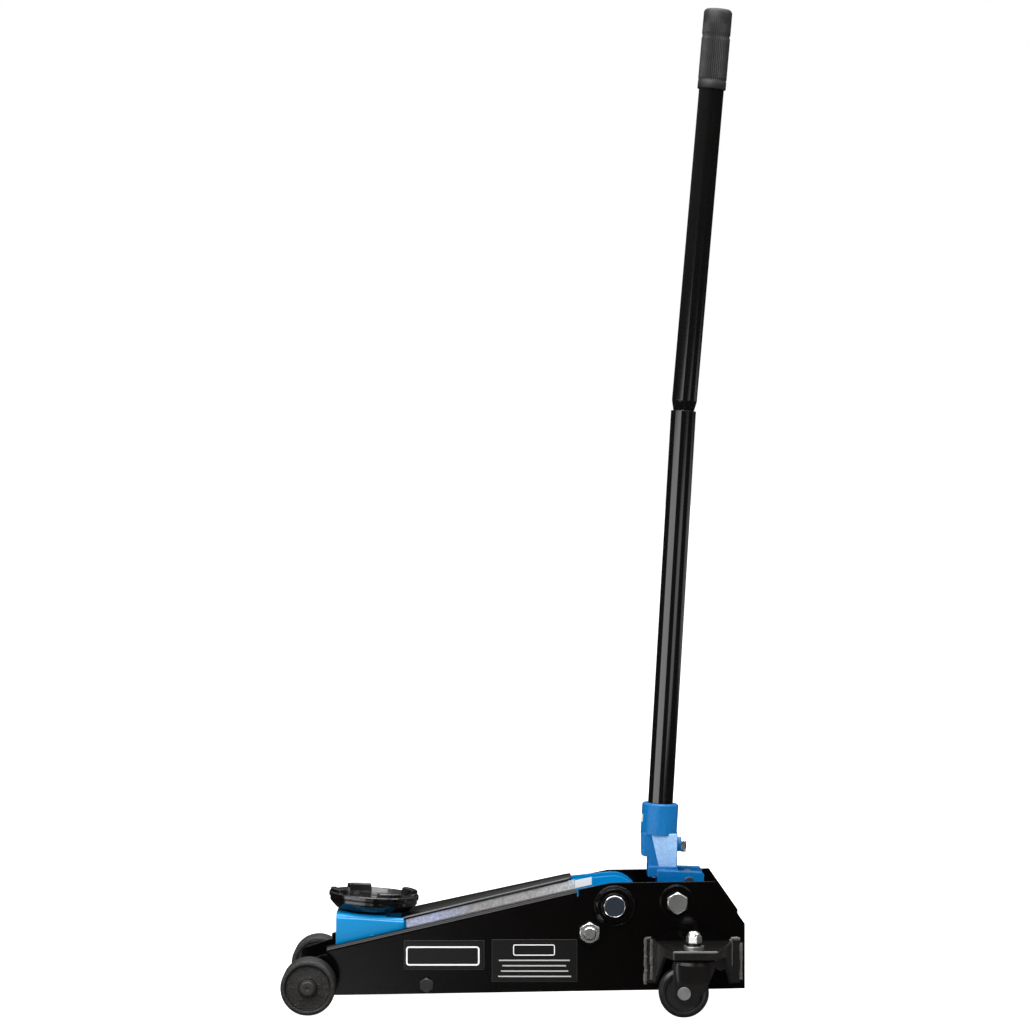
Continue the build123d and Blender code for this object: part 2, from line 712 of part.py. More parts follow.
def handle_grip():
    """Moulded grip, closed at its end."""
    joint = on_handle(HANDLE_JOINT)
    total = (HANDLE_TOP - HANDLE_JOINT - GRIP_R * sin(radians(UPPER_LEAN))) / cos(radians(UPPER_LEAN))
    bore_end = (HANDLE_TOP - 5.8 - HANDLE_JOINT) / cos(radians(UPPER_LEAN))
    start = total - GRIP_LENGTH
    bore = TUBE_R + FIT
    return along_handle([
        (bore, start), (GRIP_R - 0.8, start), (GRIP_R, start + 1), (GRIP_R, total - 4), (GRIP_R - 3.5, total),
        (0, total), (0, bore_end + 0.2), (bore, bore_end + 0.2),
    ], joint, UPPER_LEAN)


# ---------------------------------------------------------------- export

PARTS = {
    "side_plate_right": side_plate(),
    "side_plate_left": to_left(side_plate()),
    "front_axle": front_axle(),
    "front_axle_caps": front_axle_caps(),
    "front_spacers": front_spacers(),
    "front_cross_tube": front_cross_tube(),
    "tie_tube": tie_tube(),
    "tie_bolts": tie_bolts(),
    "arm_shaft": arm_shaft(),
    "shaft_collars": shaft_collars(),
    "anchor_rod": anchor_rod(),
    "anchor_nuts": anchor_nuts(),
    "socket_bolts": socket_bolts(),
    "socket_bolt_washers": socket_bolt_washers(),
    "block_bolts": block_bolts(),
    "rear_plate": rear_plate(),
    "caster_bracket_right": caster_bracket(),
    "caster_bracket_left": to_left(caster_bracket()),
    "king_bolts": king_bolts(),
    "king_nuts": king_nuts(),
    "king_washers": king_washers(),
    "caster_races": caster_races(),
    "caster_fork_right": caster_fork(),
    "caster_fork_left": to_left(caster_fork()),
    "caster_axle_right": caster_axle(),
    "caster_axle_left": to_left(caster_axle()),
    "caster_wheel_right": caster_wheel(),
    "caster_wheel_left": to_left(caster_wheel()),
    "front_wheel_right": front_wheel(),
    "front_wheel_left": to_left(front_wheel()),
    "power_block": power_block(),
    "oil_tank": oil_tank(),
    "ram_gland": ram_gland(),
    "ram": ram(),
    "filler_plug": filler_plug(),
    "release_spindle": release_spindle(),
    "pump_plunger": pump_plunger(),
    "pump_spring": pump_spring(),
    "arm_cheek_right": arm_cheek(),
    "arm_cheek_left": to_left(arm_cheek()),
    "arm_cover": arm_cover(),
    "arm_hub": arm_hub(),
    "arm_lever": arm_lever(),
    "push_pin": push_pin(),
    "push_roller": push_roller(),
    "front_pin": front_pin(),
    "level_rod_right": level_rod(),
    "level_rod_left": to_left(level_rod()),
    "bracket_shell": bracket_shell(),
    "link_pin": link_pin(),
    "saddle": saddle(),
    "handle_socket": handle_socket(),
    "press_pin": press_pin(),
    "press_roller": press_roller(),
    "set_bolt": set_bolt(),
    "release_yoke": release_yoke(),
    "lower_handle": lower_handle(),
    "upper_handle": upper_handle(),
    "handle_grip": handle_grip(),
}

os.makedirs("parts", exist_ok=True)
for name, part in PARTS.items():
    export_step(part, f"parts/{name}.step")
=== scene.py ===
from math import atan2, cos, pi, radians, sin, sqrt, tan

import bmesh
import bpy
from mathutils import Matrix, Vector, noise


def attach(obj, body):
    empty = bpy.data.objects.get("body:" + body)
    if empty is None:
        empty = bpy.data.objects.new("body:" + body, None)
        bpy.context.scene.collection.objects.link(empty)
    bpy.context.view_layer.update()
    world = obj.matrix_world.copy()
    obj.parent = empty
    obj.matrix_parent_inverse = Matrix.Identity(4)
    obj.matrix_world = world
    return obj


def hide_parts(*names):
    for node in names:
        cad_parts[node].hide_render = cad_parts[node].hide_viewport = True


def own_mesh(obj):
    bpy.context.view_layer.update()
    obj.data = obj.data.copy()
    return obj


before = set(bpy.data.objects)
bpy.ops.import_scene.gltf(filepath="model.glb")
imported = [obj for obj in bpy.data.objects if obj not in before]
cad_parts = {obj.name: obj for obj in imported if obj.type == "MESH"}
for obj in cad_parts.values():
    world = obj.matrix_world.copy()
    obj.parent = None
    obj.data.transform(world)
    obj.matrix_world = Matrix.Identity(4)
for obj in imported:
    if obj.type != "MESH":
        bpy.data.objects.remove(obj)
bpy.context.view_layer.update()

# ---------------------------------------------------------------- side plates and welded chassis
# Two pressed steel side plates with a folded top flange, the rear plate, the spacer tubes and the
# collars round the arm shaft. They are welded up and sprayed together in gloss black enamel, which
# stays nearly mirror smooth on the flats and goes thin on the edges.


def put(tree, kind, sockets=None, **settings):
    """One shader node, its settings and its inputs: a value is set, an output is linked."""
    node = tree.nodes.new(kind)
    for key, value in settings.items():
        setattr(node, key, value)
    for key, value in (sockets or {}).items():
        if isinstance(value, bpy.types.NodeSocket):
            tree.links.new(value, node.inputs[key])
        else:
            node.inputs[key].default_value = value
    return node


def skin_group():
    """Fine peel or grain, and slow blotches that change the roughness."""
    group = bpy.data.node_groups.new("sprayed_skin", "ShaderNodeTree")
    face = group.interface
    for name in ("Grain Scale", "Blotch Scale", "Rough", "Spread"):
        face.new_socket(name, in_out="INPUT", socket_type="NodeSocketFloat")
    for name in ("Roughness", "Height", "Blotch"):
        face.new_socket(name, in_out="OUTPUT", socket_type="NodeSocketFloat")
    given = put(group, "NodeGroupInput")
    place = put(group, "ShaderNodeTexCoord").outputs["Object"]
    grain = put(group, "ShaderNodeTexNoise", {
        "Vector": place, "Scale": given.outputs["Grain Scale"], "Detail": 3.0})
    blotch = put(group, "ShaderNodeTexNoise", {
        "Vector": place, "Scale": given.outputs["Blotch Scale"], "Detail": 6.0, "Roughness": 0.6})
    centred = put(group, "ShaderNodeMath", {0: blotch.outputs["Fac"], 1: 0.5}, operation="SUBTRACT")
    spread = put(group, "ShaderNodeMath", {
        0: centred.outputs[0], 1: given.outputs["Spread"], 2: given.outputs["Rough"]},
        operation="MULTIPLY_ADD")
    put(group, "NodeGroupOutput", {
        "Roughness": spread.outputs[0], "Height": grain.outputs["Fac"],
        "Blotch": blotch.outputs["Fac"]})
    return group


def edge_group():
    """Rounded normal near sharp edges, and a mask of them: thin or rubbed finish and painted highlight
    lines.
    """
    group = bpy.data.node_groups.new("rounded_edges", "ShaderNodeTree")
    group.interface.new_socket("Radius", in_out="INPUT", socket_type="NodeSocketFloat")
    group.interface.new_socket("Mask", in_out="OUTPUT", socket_type="NodeSocketFloat")
    group.interface.new_socket("Normal", in_out="OUTPUT", socket_type="NodeSocketVector")
    given = put(group, "NodeGroupInput")
    place = put(group, "ShaderNodeTexCoord").outputs["Object"]
    round_normal = put(group, "ShaderNodeBevel", {"Radius": given.outputs["Radius"]}, samples=6)
    plain = put(group, "ShaderNodeNewGeometry")
    match = put(group, "ShaderNodeVectorMath", {
        0: round_normal.outputs[0], 1: plain.outputs["Normal"]}, operation="DOT_PRODUCT")
    bend = put(group, "ShaderNodeMath", {0: 1.0, 1: match.outputs["Value"]}, operation="SUBTRACT")
    chips = put(group, "ShaderNodeTexNoise", {"Vector": place, "Scale": 180.0, "Detail": 4.0})
    broken = put(group, "ShaderNodeMath", {
        0: bend.outputs[0], 1: chips.outputs["Fac"]}, operation="MULTIPLY")
    mask = put(group, "ShaderNodeMapRange", {
        "Value": broken.outputs[0], "From Min": 0.02, "From Max": 0.14, "To Min": 0.0, "To Max": 1.0})
    put(group, "NodeGroupOutput", {"Mask": mask.outputs[0], "Normal": round_normal.outputs[0]})
    return group


SKIN = skin_group()
EDGES = edge_group()
SAME_POINT = 2e-6          # metres, nearer than this two corners are one
RIPPLES = 56               # in a round weld


def finish_of(name, colour, rough, spread, grain, depth, edge_wear_and_glint=None, edge=0.0008, blotch=14.0, tint=0.25,
              **constants):
    """Material of one finish: slowly varying colour, rounded edges paler for wear and painted highlight
    lines, uneven roughness, relief.

    rough and spread are the roughness and how much it varies, grain the scale of the relief, depth its
    depth and edge the corner radius, both in metres. tint is how much the colour varies, and constants
    go straight on the shader.
    """
    made = bpy.data.materials.new(name)
    made.use_nodes = True
    tree = made.node_tree
    shader = tree.nodes["Principled BSDF"]
    skin = put(tree, "ShaderNodeGroup", node_tree=SKIN)
    skin.inputs["Grain Scale"].default_value = grain
    skin.inputs["Blotch Scale"].default_value = blotch
    skin.inputs["Rough"].default_value = rough
    skin.inputs["Spread"].default_value = spread
    corner = put(tree, "ShaderNodeGroup", node_tree=EDGES)
    corner.inputs["Radius"].default_value = edge
    dark = [c * (1 - tint) for c in colour]
    light = [min(1.0, c * (1 + tint)) for c in colour]
    mixed = put(tree, "ShaderNodeMix", {
        0: skin.outputs["Blotch"], 6: (*dark, 1.0), 7: (*light, 1.0)}, data_type="RGBA")
    last = mixed.outputs[2]
    # Paler colour on the edges: partly a thin or rubbed finish, partly painted highlight lines.
    if edge_wear_and_glint:
        last = put(tree, "ShaderNodeMix", {
            0: corner.outputs["Mask"], 6: last, 7: (*edge_wear_and_glint, 1.0)}, data_type="RGBA").outputs[2]
    relief = put(tree, "ShaderNodeBump", {
        "Height": skin.outputs["Height"], "Distance": depth, "Strength": 1.0,
        "Normal": corner.outputs["Normal"]})
    tree.links.new(last, shader.inputs["Base Color"])
    tree.links.new(skin.outputs["Roughness"], shader.inputs["Roughness"])
    tree.links.new(relief.outputs[0], shader.inputs["Normal"])
    for key, value in constants.items():
        shader.inputs[key.replace("_", " ")].default_value = value
    return made


def coat(material, *nodes):
    """Gives CAD nodes a finish."""
    for name in nodes:
        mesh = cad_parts[name].data
        mesh.materials.clear()
        mesh.materials.append(material)


def finished(shape, name, material, body, crease=35.0):
    """Piece made of a finished shape: smooth up to the crease angle, normals outward, on a body."""
    bmesh.ops.remove_doubles(shape, verts=shape.verts, dist=SAME_POINT)
    bmesh.ops.recalc_face_normals(shape, faces=shape.faces)
    for face in shape.faces:
        face.smooth = True
    for edge in shape.edges:
        edge.smooth = edge.is_manifold and edge.calc_face_angle() < radians(crease)
    mesh = bpy.data.meshes.new(name)
    shape.to_mesh(mesh)
    shape.free()
    mesh.materials.append(material)
    piece = bpy.data.objects.new(name, mesh)
    bpy.context.scene.collection.objects.link(piece)
    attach(piece, body)
    return piece


def on_side(shape, side):
    """A shape made for the left side of the jack, on the side asked for."""
    if side == "right":
        bmesh.ops.scale(shape, vec=(1, -1, 1), verts=shape.verts)
        bmesh.ops.reverse_faces(shape, faces=shape.faces)
    return shape


def ring_of_weld(centre, radius, y, width, ripple):
    """Round bead of weld metal about an axis along Y, raised in ripples."""
    shape = bmesh.new()
    middle = Vector((centre[0], y, centre[1]))
    bmesh.ops.create_circle(
        shape, segments=10, radius=width, matrix=Matrix.Translation(middle + Vector((radius, 0, 0))))
    bmesh.ops.spin(shape, geom=list(shape.verts) + list(shape.edges), cent=middle, axis=(0, 1, 0),
                   angle=2 * pi, steps=RIPPLES * 4, use_merge=True)
    for vert in shape.verts:
        flat = Vector((vert.co.x - middle.x, 0, vert.co.z - middle.z))
        core = middle + flat.normalized() * radius
        wave = abs(sin(atan2(flat.z, flat.x) * RIPPLES / 2))
        swell = 1 + ripple * wave + 0.2 * noise.noise(vert.co * 240)
        vert.co = core + (vert.co - core) * swell
    return shape


def joined(*shapes):
    """Several shapes as one."""
    whole = bmesh.new()
    for shape in shapes:
        scratch = bpy.data.meshes.new("scratch")
        shape.to_mesh(scratch)
        whole.from_mesh(scratch)
        bpy.data.meshes.remove(scratch)
        shape.free()
    return whole


# The paler edges of the enamel are partly thin paint, partly painted highlight lines.
black_enamel = finish_of(
    "black_enamel", (0.0015, 0.0012, 0.0011), 0.13, 0.06, 330.0, 0.00002, edge_wear_and_glint=(0.008, 0.007, 0.0065),
    edge=0.0012, Specular_IOR_Level=0.22)
coat(black_enamel, "side_plate_right", "side_plate_left", "rear_plate", "front_cross_tube", "tie_tube",
     "front_spacers", "shaft_collars", "socket_bolt_washers")

ARM_PIVOT = (0.1389, 0.1418)
SOCKET_PIVOT = (0.2253, 0.1472)
PLATE_FACE = -0.08
for side in ("left", "right"):
    beads = joined(
        ring_of_weld(ARM_PIVOT, 0.0268, PLATE_FACE - 0.0004, 0.0019, ripple=0.16),
        ring_of_weld(SOCKET_PIVOT, 0.0232, PLATE_FACE - 0.0003, 0.0012, ripple=0.1))
    finished(on_side(beads, side), f"collar_weld_{side}", black_enamel, "frame")

# ---------------------------------------------------------------- blank labels on the side plates
# Two thin black vinyl labels on each side plate, left without any print but a plain pale frame on
# each and a few plain bars. They are self-adhesive and stand a quarter of a millimetre proud.


def thicken(shape, away):
    """Gives the open faces of a shape a thickness along a vector."""
    grown = bmesh.ops.extrude_face_region(shape, geom=list(shape.faces))
    corners = [v for v in grown["geom"] if isinstance(v, bmesh.types.BMVert)]
    bmesh.ops.translate(shape, vec=away, verts=corners)


def flat_piece(corners, away):
    """Flat shape between corners, given a thickness along a vector."""
    shape = bmesh.new()
    shape.faces.new([shape.verts.new(c) for c in corners])
    thicken(shape, away)
    return shape


def upright(x0, x1, z0, z1, y):
    """Corners of an upright rectangle that faces the side."""
    return [(x0, y, z0), (x1, y, z0), (x1, y, z1), (x0, y, z1)]


def pale_frame(x0, x1, z0, z1, y, line, radius):
    """Thin frame with rounded corners."""
    shape = bmesh.new()
    shape.faces.new([shape.verts.new(c) for c in upright(x0, x1, z0, z1, y)])
    bmesh.ops.bevel(shape, geom=list(shape.verts), offset=radius, offset_type="OFFSET", segments=6,
                    profile=0.5, affect="VERTICES", material=-1)
    inside = shape.faces[:][0]
    bmesh.ops.inset_individual(shape, faces=[inside], thickness=line)
    bmesh.ops.delete(shape, geom=[inside], context="FACES_ONLY")
    thicken(shape, (0, -FRAME_THICK, 0))
    return shape


vinyl = finish_of("label_vinyl", (0.004, 0.0038, 0.0038), 0.2, 0.05, 500.0, 0.00001, edge=0.0002)
vinyl_rim = finish_of("label_rim", (0.05, 0.048, 0.047), 0.35, 0.05, 500.0, 0.00001, edge=0.0002)
pale_print = finish_of(
    "label_frame", (0.74, 0.74, 0.73), 0.45, 0.05, 500.0, 0.00001, edge=0.0002, tint=0.04)
grey_print = finish_of(
    "label_bars", (0.40, 0.40, 0.39), 0.45, 0.05, 500.0, 0.00001, edge=0.0002, tint=0.04)
FRAME_THICK, VINYL_THICK, BAR_THICK = 0.00012, 0.0002, 0.0001
RIM_OUT, RIM_LINE, RIM_CORNER = 0.0003, 0.0005, 0.0006
LABEL_BACK = PLATE_FACE - 0.00002
LABEL_FACE = PLATE_FACE - 0.00025
LABELS = ((-0.1517, -0.0414, 0.0541, 0.0941), (-0.0303, 0.0869, 0.0375, 0.0954))
BAR_ENDS = ((-0.021, 0.077), (-0.016, 0.072), (-0.018, 0.075), (-0.022, 0.079))
BAR_TOP, BAR_PITCH, BAR_HEIGHT = 0.0677, 0.0074, 0.0018
for side in ("left", "right"):
    for number, (x0, x1, z0, z1) in enumerate(LABELS):
        panel = flat_piece(upright(x0, x1, z0, z1, LABEL_BACK), (0, -VINYL_THICK, 0))
        finished(on_side(panel, side), f"label_{side}_{number}", vinyl, "frame")
        rim = pale_frame(x0 - RIM_OUT, x1 + RIM_OUT, z0 - RIM_OUT, z1 + RIM_OUT,
                         LABEL_BACK, RIM_LINE, RIM_CORNER)
        finished(on_side(rim, side), f"label_rim_{side}_{number}", vinyl_rim, "frame")
    front_frame = pale_frame(-0.1492, -0.0476, 0.0595, 0.0862, LABEL_FACE, 0.0022, 0.0045)
    finished(on_side(front_frame, side), f"label_frame_{side}_0", pale_print, "frame")
    rear_frame = pale_frame(-0.0012, 0.0565, 0.0734, 0.0888, LABEL_FACE, 0.0013, 0.0028)
    finished(on_side(rear_frame, side), f"label_frame_{side}_1", pale_print, "frame")
    for row, (start, end) in enumerate(BAR_ENDS):
        top = BAR_TOP - row * BAR_PITCH
        bar = flat_piece(upright(start, end, top - BAR_HEIGHT, top, LABEL_FACE), (0, -BAR_THICK, 0))
        finished(on_side(bar, side), f"label_bar_{side}_{row}", grey_print, "frame")

# ---------------------------------------------------------------- front rollers
# Cast iron rollers, dished on both faces with a boss for the axle, left rough from the sand and
# dipped in thin black paint. A domed cap pushed on each axle end holds them.


def spun(outline, centre, axis, across, steps):
    """Shape turned about an axis, from the (radius, along) points of its closed outline."""
    shape = bmesh.new()
    centre, axis, across = Vector(centre), Vector(axis), Vector(across)
    verts = [shape.verts.new(centre + across * r + axis * a) for r, a in outline]
    edges = [shape.edges.new(pair) for pair in zip(verts, verts[1:] + verts[:1])]
    bmesh.ops.spin(shape, geom=verts + edges, cent=centre, axis=axis, angle=2 * pi, steps=steps,
                   use_merge=True)
    return shape


cast_black = finish_of(
    "cast_black", (0.013, 0.0115, 0.0105), 0.36, 0.2, 520.0, 0.0016, edge=0.0012, tint=0.4)
FRONT_AXLE = (-0.2815, 0.0375)
roller_outline = [
    (0.0081, 0.0965), (0.0140, 0.0965), (0.0155, 0.0995), (0.0300, 0.0995), (0.0312, 0.0965),
    (0.0352, 0.0963), (0.0368, 0.0970), (0.0374, 0.0986), (0.0375, 0.1210), (0.0374, 0.1434),
    (0.0368, 0.1450), (0.0352, 0.1459), (0.0325, 0.1459), (0.0312, 0.1449), (0.0307, 0.1410),
    (0.0296, 0.1392), (0.0150, 0.1390), (0.0134, 0.1398), (0.0122, 0.1432), (0.0108, 0.1454),
    (0.0081, 0.1454)]
for side, away in (("left", -1), ("right", 1)):
    roller = spun(roller_outline, (FRONT_AXLE[0], 0, FRONT_AXLE[1]), (0, away, 0), (1, 0, 0), 96)
    piece = finished(roller, f"front_roller_{side}", cast_black, f"front_wheel_{side}")
    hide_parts(f"front_wheel_{side}")

# ---------------------------------------------------------------- lift arm
# Two flat cheeks, a bearing tube and a push lever, welded and sprayed blue, with a black cover plate
# rolled at its edges on top. A blank grey scale strip is stuck along each cheek, under the cover.
blue_enamel = finish_of(
    "blue_enamel", (0.0, 0.23, 0.53), 0.2, 0.08, 300.0, 0.00003, edge_wear_and_glint=(0.02, 0.24, 0.52), edge=0.0012,
    tint=0.08, Specular_IOR_Level=0.35)
coat(blue_enamel, "arm_cheek_right", "arm_cheek_left", "arm_hub", "arm_lever", "bracket_shell")
COVER_FRONT, COVER_REAR, COVER_THICK, COVER_ROLL = -0.158, 0.080, 0.0039, 0.0024
TAPER_START, TAPER_LENGTH = -0.150, 0.230      # where the arm narrows and how far, in X


def arm_top(x, drop=0.0):
    """Height of the arm's top line at x, or of a line that lies lower."""
    return 0.124 + (x - TAPER_START) * 0.052 / TAPER_LENGTH - drop


def cheek_face(x):
    """Distance from the middle to the outer face of a cheek."""
    return 0.048 - 0.021 * min(1.0, max(0.0, (x - TAPER_START) / TAPER_LENGTH))


plan = [(COVER_FRONT, 0.050), (TAPER_START, 0.050),
        (COVER_REAR - 0.007, 0.0299), (COVER_REAR, 0.0255)]
plan += [(x, -y) for x, y in reversed(plan)]
cover = flat_piece([(x, y, arm_top(x)) for x, y in plan], (0, 0, -COVER_THICK))
rolled = [e for e in cover.edges if all(abs(v.co.z - arm_top(v.co.x)) < 1e-5 for v in e.verts)]
bmesh.ops.bevel(cover, geom=rolled, offset=COVER_ROLL, offset_type="OFFSET", segments=6, profile=0.5,
                affect="EDGES", material=-1)
cover_black = finish_of(
    "cover_black", (0.0075, 0.007, 0.0066), 0.2, 0.1, 300.0, 0.00003, edge_wear_and_glint=(0.015, 0.014, 0.013),
    edge=0.0006, Coat_Weight=0.4, Coat_Roughness=0.07)
piece = finished(cover, "arm_cover_plate", cover_black, "lift_arm", crease=50)
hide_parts("arm_cover")


def strip_finish():
    """Printed strip: pale violet at the front, mottled grey in the middle, lighter at the rear; all
    painted paler as painted light against the cover's shade.
    """
    made = finish_of("scale_strip_painted_light", (0.4, 0.4, 0.4), 0.32, 0.05, 400.0, 0.00001, edge=0.0002)
    tree = made.node_tree
    place = put(tree, "ShaderNodeTexCoord").outputs["Object"]
    along = put(tree, "ShaderNodeSeparateXYZ", {0: place}).outputs["X"]
    share = put(tree, "ShaderNodeMapRange", {"Value": along, "From Min": -0.150, "From Max": 0.086})
    ramp = put(tree, "ShaderNodeValToRGB", {"Fac": share.outputs[0]})
    stops = ((0.0, (0.55, 0.57, 0.72)), (0.16, (0.50, 0.54, 0.74)), (0.30, (0.44, 0.46, 0.56)),
             (0.42, (0.42, 0.41, 0.40)), (0.75, (0.48, 0.47, 0.47)), (1.0, (0.66, 0.66, 0.67)))
    line = ramp.color_ramp
    for number, (position, colour) in enumerate(stops):
        stop = line.elements[number] if number < 2 else line.elements.new(position)
        stop.position = position
        stop.color = (*colour, 1.0)
    speck = put(tree, "ShaderNodeTexNoise", {"Vector": place, "Scale": 260.0, "Detail": 3.0})
    spread = put(tree, "ShaderNodeMapRange", {
        "Value": speck.outputs["Fac"], "From Min": 0.3, "From Max": 0.7, "To Min": 0.75, "To Max": 1.3})
    mottled = put(tree, "ShaderNodeVectorMath", {
        0: ramp.outputs["Color"], "Scale": spread.outputs[0]}, operation="SCALE")
    tree.links.new(mottled.outputs[0], tree.nodes["Principled BSDF"].inputs["Base Color"])
    return made


scale_strip_painted_light = strip_finish()
strip_white = finish_of(
    "strip_white", (0.86, 0.86, 0.88), 0.35, 0.05, 400.0, 0.00001, edge=0.0002, tint=0.05)
STRIP_THICK, STRIP_GAP = 0.0002, 0.00003
STRIPS = (("arm_strip", -0.1495, 0.0845, 0.0046, 0.0190, scale_strip_painted_light),
          ("arm_strip_end", 0.0850, 0.1085, 0.0062, 0.0172, strip_white))
for side in ("left", "right"):
    for name, x0, x1, top, low, material in STRIPS:
        corners = [(x, -cheek_face(x) - STRIP_GAP, arm_top(x, drop)) for x, drop in (
            (x0, low), (x1, low), (x1, top), (x0, top))]
        strip = flat_piece(corners, (0, -STRIP_THICK, 0))
        finished(on_side(strip, side), f"{name}_{side}", material, "lift_arm")
bare_steel = finish_of(
    "bare_steel", (0.34, 0.35, 0.37), 0.3, 0.2, 800.0, 0.00003, edge=0.0005, Metallic=1.0)
coat(bare_steel, "push_pin", "push_roller", "ram", "front_pin", "link_pin", "front_axle")

# ---------------------------------------------------------------- saddle
# Cast steel cup with four lugs, stepped outside, on a stem that turns in the folded saddle bracket.
# It is dipped in gloss black, which fills the sand texture and rounds every corner.
saddle_black = finish_of(
    "saddle_black", (0.003, 0.0025, 0.0022), 0.13, 0.10, 160.0, 0.00035, edge=0.0024, tint=0.3,
    Coat_Weight=0.5, Coat_Roughness=0.08)
coat(saddle_black, "saddle")

# ---------------------------------------------------------------- levelling rods and hydraulic unit
# The two rods that keep the saddle level, and the welded block with its tank, ram, pump plunger and
# release valve between the side plates. The block, tank and rods are satin black, the rest is bare.
satin_black = finish_of(
    "satin_black", (0.009, 0.009, 0.0095), 0.34, 0.15, 400.0, 0.00005, edge_wear_and_glint=(0.04, 0.04, 0.04),
    edge=0.0009)
coat(satin_black, "power_block", "oil_tank", "level_rod_right", "level_rod_left", "caster_races")
coat(bare_steel, "pump_plunger", "release_spindle", "release_yoke", "ram_gland")
spring_wire = finish_of(
    "spring_wire", (0.12, 0.12, 0.125), 0.35, 0.2, 900.0, 0.00002, edge=0.0003, Metallic=1.0)
SPRING_X, SPRING_FOOT, SPRING_TOP = 0.251, 0.1142, 0.1540
SPRING_R, WIRE_R, COILS, COIL_STEPS = 0.0098, 0.0011, 7, 28
spring = bmesh.new()
start = Vector((SPRING_X + SPRING_R, 0, SPRING_FOOT + WIRE_R))
bmesh.ops.create_circle(
    spring, segments=10, radius=WIRE_R,
    matrix=Matrix.Translation(start) @ Matrix.Rotation(radians(90), 4, "X"))
steps = COIL_STEPS * COILS
rise = (SPRING_TOP - SPRING_FOOT - 2 * WIRE_R) / steps
bmesh.ops.spin(spring, geom=list(spring.verts) + list(spring.edges), cent=(SPRING_X, 0, 0),
               axis=(0, 0, 1), dvec=(0, 0, rise), angle=2 * pi * COILS, steps=steps)
bmesh.ops.holes_fill(spring, edges=[e for e in spring.edges if e.is_boundary], sides=0)
piece = finished(spring, "plunger_spring", spring_wire, "frame")
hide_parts("pump_spring")
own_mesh(piece)

# ---------------------------------------------------------------- handle socket
# Sand-cast steel socket, sprayed blue, with a tube for the handle over a forked foot. A bolt through
# its back holds the handle, a roller in the fork presses the pump, and a blank label is on its front.
socket_blue = finish_of(
    "socket_blue", (0.0, 0.128, 0.36), 0.27, 0.12, 210.0, 0.0007, edge_wear_and_glint=(0.03, 0.2, 0.5), edge=0.0022,
    tint=0.12, Specular_IOR_Level=0.35)
coat(socket_blue, "handle_socket")
coat(bare_steel, "press_pin", "press_roller")
# The web faces get a paler blue than the socket: a painted sheen, where the same paint catches the
# light.
web_face_painted_sheen = finish_of(
    "socket_face_painted_sheen", (0.27, 0.46, 0.78), 0.36, 0.15, 420.0, 0.0009, edge_wear_and_glint=(0.03, 0.2, 0.5), edge=0.0012,
    tint=0.4, blotch=300.0)
WEB_BACK, WEB_THICK = -0.0188, 0.0030
WEB_OUTLINE = ((0.1920, 0.2355), (0.2282, 0.2355), (0.2274, 0.1865), (0.2030, 0.1865))
for side in ("left", "right"):
    web = flat_piece([(x, WEB_BACK, z) for x, z in WEB_OUTLINE], (0, -WEB_THICK, 0))
    outer = [e for e in web.edges if all(v.co.y < WEB_BACK - WEB_THICK / 2 for v in e.verts)]
    bmesh.ops.bevel(web, geom=outer, offset=0.0011, offset_type="OFFSET", segments=4, profile=0.5,
                    affect="EDGES", material=-1)
    finished(on_side(web, side), f"socket_web_{side}", web_face_painted_sheen, "handle_socket")
LEAN, HANDLE_AT, SOCKET_R = radians(3.34), (0.2056, 0.279), 0.0255
TAG_DROP, TAG_HEIGHT, TAG_THICK, TAG_GAP = 0.029, 0.011, 0.0002, 0.00005
TAG_WIDE, TAG_TURN = radians(26), radians(-4)
up_handle = Vector((sin(LEAN), 0, cos(LEAN)))
across_handle = Vector((cos(LEAN), 0, -sin(LEAN)))
tag_white = finish_of(
    "tag_white", (0.7, 0.71, 0.72), 0.4, 0.05, 500.0, 0.00001, edge=0.0002, tint=0.04)
tag = bmesh.new()
foot = Vector((HANDLE_AT[0], 0, HANDLE_AT[1])) - up_handle * TAG_DROP
ends = [tag.verts.new(foot + up_handle * rise - across_handle * (SOCKET_R + TAG_GAP))
        for rise in (0.0, TAG_HEIGHT)]
bmesh.ops.spin(tag, geom=ends + [tag.edges.new(ends)], cent=foot, axis=up_handle, angle=TAG_WIDE,
               steps=8)
bmesh.ops.rotate(tag, cent=foot, matrix=Matrix.Rotation(TAG_TURN, 3, up_handle), verts=tag.verts)
grown = bmesh.ops.extrude_face_region(tag, geom=list(tag.faces))
for vert in [v for v in grown["geom"] if isinstance(v, bmesh.types.BMVert)]:
    out = vert.co - foot - up_handle * (vert.co - foot).dot(up_handle)
    vert.co += out.normalized() * TAG_THICK
finished(tag, "socket_tag", tag_white, "handle_socket")

# ---------------------------------------------------------------- handle and grip
# Two black enamelled steel tubes, the upper one crimped into the lower, with a ribbed rubber grip
# pushed on the top and a plain band at its mouth. The grip has a closed end and one plain groove.
tube_enamel = finish_of(
    "tube_enamel", (0.0035, 0.0033, 0.0032), 0.09, 0.04, 240.0, 0.00001, edge=0.0006, Coat_Weight=0.4,
    Coat_Roughness=0.05)
coat(tube_enamel, "lower_handle", "upper_handle")
grip_rubber = finish_of(
    "grip_rubber", (0.013, 0.013, 0.0133), 0.5, 0.12, 900.0, 0.00008, edge=0.0004, tint=0.15)
UPPER_LEAN, HANDLE_JOINT, HANDLE_TOP = radians(4.93), 0.827, 1.390
GRIP_R, GRIP_BORE, GRIP_LENGTH, GRIP_CAP, CAP_GAP = 0.020, 0.01755, 0.112, 0.0058, 0.0002
RIB_COUNT, RIB_DEPTH, RIB_PITCH, RIB_WAVE, RIB_WAVE_PER_M = 44, 0.00055, 0.003, 0.012, 260
joint = Vector((HANDLE_AT[0] + (HANDLE_JOINT - HANDLE_AT[1]) * tan(LEAN), 0, HANDLE_JOINT))
